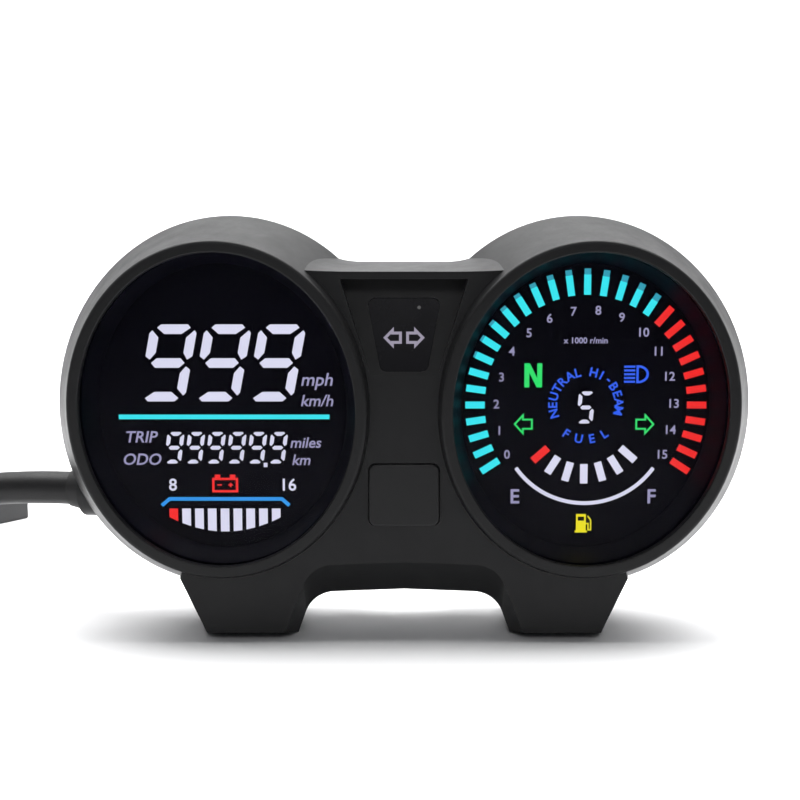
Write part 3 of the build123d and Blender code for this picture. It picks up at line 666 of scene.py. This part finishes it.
def onFilm(node, centre, lift=0.12, thickness=0.1):
    # millimetres from the display's middle to a place in front of its film: y is the film's front
    # less the lift, plus the depth times the thickness
    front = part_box(node)[0][1] - lift * mm

    def place(flat, depth):
        return np.hstack([
            (flat[:, :1] + centre[0]) * mm,
            front + depthColumn(depth, len(flat)) * thickness * mm,
            (flat[:, 1:2] + centre[1]) * mm,
        ])

    return place


# left display: speed, distance and battery voltage, in millimetres from its middle
speedDisplay = dict(
    centre=(-62.1, 79.9),
    speed=dict(first=(-18.95, 14.35), pitch=18.6, width=16.1, height=26.5, thick=3.3, gap=0.65, slant=11.0),
    distance=dict(first=(-17.3, -15.0), pitch=7.15, width=5.9, height=11.0, thick=1.35, gap=0.36, slant=8.0),
    point=dict(centre=(14.2, -21.0), length=1.3, width=1.5),
    divider=dict(centre=(0.1, -4.25), length=72.6, width=1.6),
    units=[("mph", 6.3, (32.2, 8.0)), ("km/h", 5.6, (32.2, 1.4)), ("TRIP", 5.6, (-28.3, -11.2)),
           ("ODO", 5.6, (-28.3, -19.0)), ("miles", 5.2, (28.2, -13.2)), ("km", 5.2, (26.6, -19.2))],
    unitShear=0.2,
    unitBold=0.06,
    volts=[("8", 5.9, (-18.0, -27.9)), ("16", 5.9, (22.4, -27.9))],
    voltBold=0.08,
    battery=dict(case=[(-4.0, -30.2), (4.2, -30.2), (4.2, -25.9), (-4.0, -25.9)], line=0.8,
                 terminals=[(-2.5, -25.0), (2.7, -25.0)], terminalLength=1.9, terminalWidth=1.2,
                 poles=[((-1.8, -28.0), 0), ((2.0, -28.0), 0), ((2.0, -28.0), 90)],
                 poleLength=1.5, poleWidth=0.5),
    bracket=dict(points=[(-22.0, -35.2), (-19.2, -32.9), (19.7, -32.9), (22.3, -35.2)], line=1.25),
    voltBars=dict(count=9, first=-17.9, pitch=4.45, halfWidth=1.5, top=-36.3, lowest=-44.4, curve=0.0135),
)


def voltBar(values, index):
    # upright bar whose foot follows a bowl: lowest plus the curve times x squared
    x, half = values["first"] + index * values["pitch"], values["halfWidth"]
    left, right = [values["lowest"] + values["curve"] * (x + offset) ** 2 for offset in (-half, half)]
    return [(x - half, left), (x + half, right), (x + half, values["top"]), (x - half, values["top"])]


def buildSpeedDisplay(look):
    # outlines and words of the left display, each with the name of its colour
    point, divider, battery, bars = look["point"], look["divider"], look["battery"], look["voltBars"]
    shapes = cells("cellWhite", digitRow("999", look["speed"]))
    shapes += cells("cellCyan", [bar(divider["centre"], 0, divider["length"], divider["width"])])
    shapes += cells("cellWhite", digitRow("999999", look["distance"]))
    shapes += cells("cellWhite", [bar(point["centre"], 0, point["length"], point["width"])])
    shapes += cells("cellRed", stroke(battery["case"], battery["line"], closed=True))
    shapes += cells("cellRed", [bar(at, 0, battery["terminalLength"], battery["terminalWidth"])
                                for at in battery["terminals"]])
    shapes += cells("cellRed", [bar(at, angle, battery["poleLength"], battery["poleWidth"])
                                for at, angle in battery["poles"]])
    shapes += cells("cellSky", stroke(look["bracket"]["points"], look["bracket"]["line"]))
    shapes += cells("cellRed", [voltBar(bars, 0)])
    shapes += cells("cellWhite", [voltBar(bars, index) for index in range(1, bars["count"])])
    words = letters("cellLilac", look["units"], shear=look["unitShear"], bold=look["unitBold"])
    words += letters("cellWhite", look["volts"], bold=look["voltBold"])
    return shapes, words


shapes, words = buildSpeedDisplay(speedDisplay)
buildReadout("speedReadout", shapes, words, onFilm("left_dial_film", speedDisplay["centre"]))

# right display: engine speed, gear, fuel and warning signs, in millimetres and degrees
engineDisplay = dict(
    centre=(62.6, 79.9),
    bars=dict(count=31, low=20, firstAngle=213.0, stepAngle=-8.2, innerOval=(34.8, 37.7),
              outerOval=(41.5, 46.6), width=2.4,
              firstTip=7, tipShare=0.10, tipGrowth=0.016, tipMost=0.30, tipNarrower=0.2),
    numbers=dict(size=4.3, bold=0.06, places=[
        (-27, -17.3), (-29.7, -9), (-30.8, 0.2), (-29.1, 9.5), (-25.6, 18.4), (-19.8, 24.7), (-12.8, 29.7),
        (-4.6, 32), (3.8, 32.4), (11.9, 30), (19.6, 24.9), (24.7, 18.4), (28.8, 9.8), (30.4, 0.4),
        (29.5, -8.7), (26.8, -17.3),
    ]),
    unit=("x 1000 r/min", 2.9, (-0.4, 22.1)),
    unitBold=0.05,
    neutral=dict(posts=[(-20.4, 10.1), (-16.0, 10.1)], length=8.3, width=1.7,
                 slope=[(-21.2, 14.25), (-19.4, 14.25), (-15.2, 5.95), (-17.0, 5.95)]),
    beam=dict(bowl=(17.9, 10.5), reach=(3.2, 2.7), backX=17.6, steps=13, line=0.8, rayX=14.9,
              rayHeights=(13.1, 11.8, 10.5, 9.2, 7.9), rayLength=3.8, rayWidth=0.72),
    arcWords=[
        dict(text="NEUTRAL", radius=11.4, first=196, step=-15.2, outward=True),
        dict(text="HI-BEAM", radius=11.4, first=77, step=-14.6, outward=True),
        dict(text="FUEL", radius=12.0, first=237, step=22, outward=False),
    ],
    arcSize=4.3,
    arcBold=0.1,
    gear=dict(first=(0.0, -1.0), pitch=0.0, width=5.7, height=11.1, thick=1.35, gap=0.25, slant=5.0),
    turnArrow=dict(tip=3.0, neck=0.2, head=3.1, shaft=1.6, tail=2.9, line=0.6),
    turnPlaces=((-1, (-21.4, -6.8)), (1, (20.4, -6.8))),
    fuelBars=dict(middle=(-0.4, -4.0), radius=20.1, count=7, firstAngle=221.4, stepAngle=16.25,
                  length=6.8, width=2.6),
    gauge=dict(middle=(-0.1, -5.4), radius=29.0, start=215, stop=325, steps=37, line=1.3,
               ends=[("E", 7.0, (-24.1, -32.0)), ("F", 7.0, (23.3, -32.0))], bold=0.12),
    pumpBars=[((-1.1, -42.4), 0, 3.4, 3.6), ((-1.1, -44.4), 0, 4.3, 0.7), ((-2.5, -39.9), 90, 1.6, 0.6),
              ((0.3, -39.9), 90, 1.6, 0.6), ((-1.1, -38.7), 0, 3.4, 0.9)],
    hose=[(0.5, -41.6), (1.4, -41.6), (1.4, -43.8), (2.3, -43.8), (2.3, -40.4), (1.2, -38.9)],
    hoseLine=0.45,
)


def ovalReach(oval, angle):
    # distance from the middle to an oval at an angle: one over the root of the summed squares of
    # cosine over the first reach and sine over the second
    turn = math.radians(angle)
    return 1 / math.hypot(math.cos(turn) / oval[0], math.sin(turn) / oval[1])


def wordOnArc(text, radius, first, step, outward, size, bold):
    # one word along a circle: letters a step apart, each turned a quarter turn from its own radius
    placed = []
    for index, letter in enumerate(text):
        angle = first + index * step
        turn = math.radians(angle)
        centre = (radius * math.cos(turn), radius * math.sin(turn))
        facing = angle - 90 if outward else angle + 90
        placed += letters("cellBlue", [(letter, size, centre)], turn=facing, bold=bold)
    return placed


def speedBar(values, index):
    # one bar of the engine speed scale, between two ovals; low bars from firstTip on have a dimmer
    # tip, whose share of the bar grows with each bar up to a limit
    angle = values["firstAngle"] + index * values["stepAngle"]
    turn = math.radians(angle)
    outward = np.array([math.cos(turn), math.sin(turn)])
    inner, outer = ovalReach(values["innerOval"], angle), ovalReach(values["outerOval"], angle)
    low = index < values["low"]
    later = index - values["firstTip"]
    tipShare = 0.0
    if low and later >= 0:
        tipShare = min(values["tipMost"], values["tipShare"] + values["tipGrowth"] * later)
    tip = outer - tipShare * (outer - inner)
    main = bar(outward * (inner + tip) / 2, angle, tip - inner, values["width"])
    shapes = cells("cellCyan" if low else "cellRed", [main])
    if tipShare:
        narrow = values["width"] - values["tipNarrower"]
        shapes += cells("cellTeal", [bar(outward * (tip + outer) / 2, angle, outer - tip, narrow)])
    return shapes


def fuelBar(values, index):
    # one bar of the fuel scale, along a radius of its circle
    angle = values["firstAngle"] + index * values["stepAngle"]
    turn = math.radians(angle)
    outward = np.array([math.cos(turn), math.sin(turn)])
    return bar(values["middle"] + values["radius"] * outward, angle, values["length"], values["width"])


def buildEngineDisplay(look):
    # outlines and words of the right display, each with the name of its colour
    numbers, neutral, beam, gauge = look["numbers"], look["neutral"], look["beam"], look["gauge"]
    shapes = [piece for index in range(look["bars"]["count"]) for piece in speedBar(look["bars"], index)]
    # neutral sign: two posts and the slope between them
    shapes += cells("cellGreen", [bar(at, 90, neutral["length"], neutral["width"])
                                  for at in neutral["posts"]])
    shapes += cells("cellGreen", [neutral["slope"]])
    # main beam sign: lamp bowl and its rays
    (bowlX, bowlZ), (reachX, reachZ) = beam["bowl"], beam["reach"]
    half = arcPoints((bowlX, bowlZ), (reachX, reachZ), 90, -90, beam["steps"])
    bowl = np.vstack([[(beam["backX"], bowlZ + reachZ)], half, [(beam["backX"], bowlZ - reachZ)]])
    shapes += cells("cellBlue", stroke(bowl, beam["line"], closed=True))
    shapes += cells("cellBlue", [bar((beam["rayX"], z), 0, beam["rayLength"], beam["rayWidth"])
                                 for z in beam["rayHeights"]])
    shapes += cells("cellWhite", digitRow("5", look["gear"]))
    for side, centre in look["turnPlaces"]:
        outline = arrow(look["turnArrow"], side, centre)
        shapes += cells("cellGreen", stroke(outline, look["turnArrow"]["line"], closed=True))
    fuel = look["fuelBars"]
    shapes += cells("cellRed", [fuelBar(fuel, 0)])
    shapes += cells("cellWhite", [fuelBar(fuel, index) for index in range(1, fuel["count"])])
    line = arcPoints(gauge["middle"], gauge["radius"], gauge["start"], gauge["stop"], gauge["steps"])
    shapes += cells("cellWhite", stroke(line, gauge["line"]))
    # fuel pump sign: body round its window, foot and hose
    shapes += cells("cellYellow", [bar(*values) for values in look["pumpBars"]])
    shapes += cells("cellYellow", stroke(look["hose"], look["hoseLine"]))
    scale = [(str(value), numbers["size"], place) for value, place in enumerate(numbers["places"])]
    words = letters("cellLilac", scale, bold=numbers["bold"])
    words += letters("cellLilac", [look["unit"]], bold=look["unitBold"])
    for word in look["arcWords"]:
        words += wordOnArc(size=look["arcSize"], bold=look["arcBold"], **word)
    words += letters("cellLilac", gauge["ends"], bold=gauge["bold"])
    return shapes, words


shapes, words = buildEngineDisplay(engineDisplay)
buildReadout("engineReadout", shapes, words, onFilm("right_dial_film", engineDisplay["centre"]))

# arrows on the smoked window's sloping front, in millimetres: base and face are the height and the
# depth where the slope starts, slope is in degrees, recess is how far the window lies behind it
windowMarks = dict(
    base=91.0, face=-24.0, slope=14.0, recess=0.5, lift=0.12, thickness=0.1, height=12.8, spread=3.7,
    arrow=dict(tip=2.6, neck=0.2, head=2.5, shaft=1.6, tail=2.5, line=0.95),
    # glowing round dot above the right arrow: a painted glint
    glintDot=dict(across=1.4, up=10.4, radius=0.6, stop=330, steps=12),
)


def onSlope(values):
    # millimetres across and up the slope to a place in front of the window: up the slope by the
    # slope's sine and cosine, then out along its normal
    turn = math.radians(values["slope"])

    def place(flat, depth):
        out = values["lift"] - values["recess"] - depthColumn(depth, len(flat)) * values["thickness"]
        along = flat[:, 1:2]
        return mm * np.hstack([
            flat[:, :1],
            values["face"] + along * math.sin(turn) - out * math.cos(turn),
            values["base"] + along * math.cos(turn) + out * math.sin(turn),
        ])

    return place


def buildWindowMarks(values):
    # two arrows as far left and right of the middle as the spread, and above them a small glowing round dot
    # that is a painted glint
    glintDot, shapes = values["glintDot"], []
    for side in (-1, 1):
        outline = arrow(values["arrow"], side, [side * values["spread"], values["height"]])
        shapes += cells("cellMark", stroke(outline, values["arrow"]["line"], closed=True))
    centre = (values["spread"] + glintDot["across"], values["height"] + glintDot["up"])
    shapes += cells("cellPaintedGlint", [arcPoints(centre, glintDot["radius"], 0, glintDot["stop"], glintDot["steps"])])
    return shapes


buildReadout("windowMarks", buildWindowMarks(windowMarks), [], onSlope(windowMarks))

# floor and backdrop in metres
studio = dict(halfWidth=3.0, front=-2.0, back=1.6, curve=0.6, top=2.6,
              tone=(0.86, 0.86, 0.865), lighter=1.02,
              rough=(0.7, 0.8), grainScale=300.0, stepsRound=17, stepsAcross=9)


def addBackdrop(values):
    # floor profile that turns up into a wall along a quarter circle, carried across the width
    curve, turn = values["curve"], np.linspace(-math.pi / 2, 0, values["stepsRound"])
    y = np.concatenate([[values["front"]], values["back"] - curve + curve * np.cos(turn), [values["back"]]])
    z = np.concatenate([[0.0], curve + curve * np.sin(turn), [values["top"]]])
    x = np.linspace(-values["halfWidth"], values["halfWidth"], values["stepsAcross"])
    across, along = np.meshgrid(x, np.arange(len(y)))
    points = np.stack([across, y[along], z[along]], axis=-1).reshape(-1, 3)
    light = tuple(channel * values["lighter"] for channel in values["tone"])
    paper = surfaceFinish("paperWhite", values["tone"], light, values["rough"], scale=values["grainScale"])
    backdrop = newMesh("paperSweep", points, gridFaces(len(y), len(x)), [paper], smooth=True)


addBackdrop(studio)

# soft lamps: place, aim and size in metres, power in watts, spread in degrees
lamps = {
    "topSoft": dict(place=(0.0, 0.45, 1.25), aim=(0.0, 0.4, 0.0), size=(2.2, 1.2), power=24.0, spread=110),
    "leftSoft": dict(place=(-1.2, 0.5, 0.45), aim=(0.0, 0.0, 0.08), size=(0.5, 1.0), power=1.3, spread=120),
    "rightSoft": dict(place=(1.2, 0.5, 0.45), aim=(0.0, 0.0, 0.08), size=(0.5, 1.0), power=1.3, spread=120),
    "wallSoft": dict(place=(0.0, 0.2, 1.6), aim=(0.0, 1.6, 0.4), size=(2.4, 0.6), power=36.0, spread=150),
    "frontSoft": dict(place=(0.0, -1.1, 0.8), aim=(0.0, 0.0, 0.08), size=(0.9, 0.35), power=0.5, spread=90),
}


def addLamps(values):
    # rectangular lamps turned toward their aim: tilt from straight down, then the heading less a
    # quarter turn; the camera doesn't see them
    for name, lamp in values.items():
        data = bpy.data.lights.new(name, "AREA")
        data.shape = "RECTANGLE"
        data.size, data.size_y = lamp["size"]
        data.energy = lamp["power"]
        data.spread = math.radians(lamp["spread"])
        light = bpy.data.objects.new(name, data)
        place, aim = np.array(lamp["place"]), np.array(lamp["aim"])
        toAim = aim - place
        flat = math.hypot(toAim[0], toAim[1])
        light.location = lamp["place"]
        tilt, heading = math.atan2(flat, -toAim[2]), math.atan2(toAim[1], toAim[0])
        light.rotation_euler = (tilt, 0, heading - math.pi / 2)
        light.visible_camera = False
        bpy.context.scene.collection.objects.link(light)


addLamps(lamps)


# even light from the room
room = dict(colour=(0.92, 0.94, 1.0), strength=0.13)


def setWorld(values):
    # one colour and strength all round
    world = bpy.data.worlds.new("paleRoom")
    world.use_nodes = True
    background = world.node_tree.nodes["Background"]
    background.inputs[0].default_value = (*values["colour"], 1.0)
    background.inputs[1].default_value = values["strength"]
    bpy.context.scene.world = world


setWorld(room)
bpy.context.scene.view_settings.view_transform = "Standard"
print("studio set")
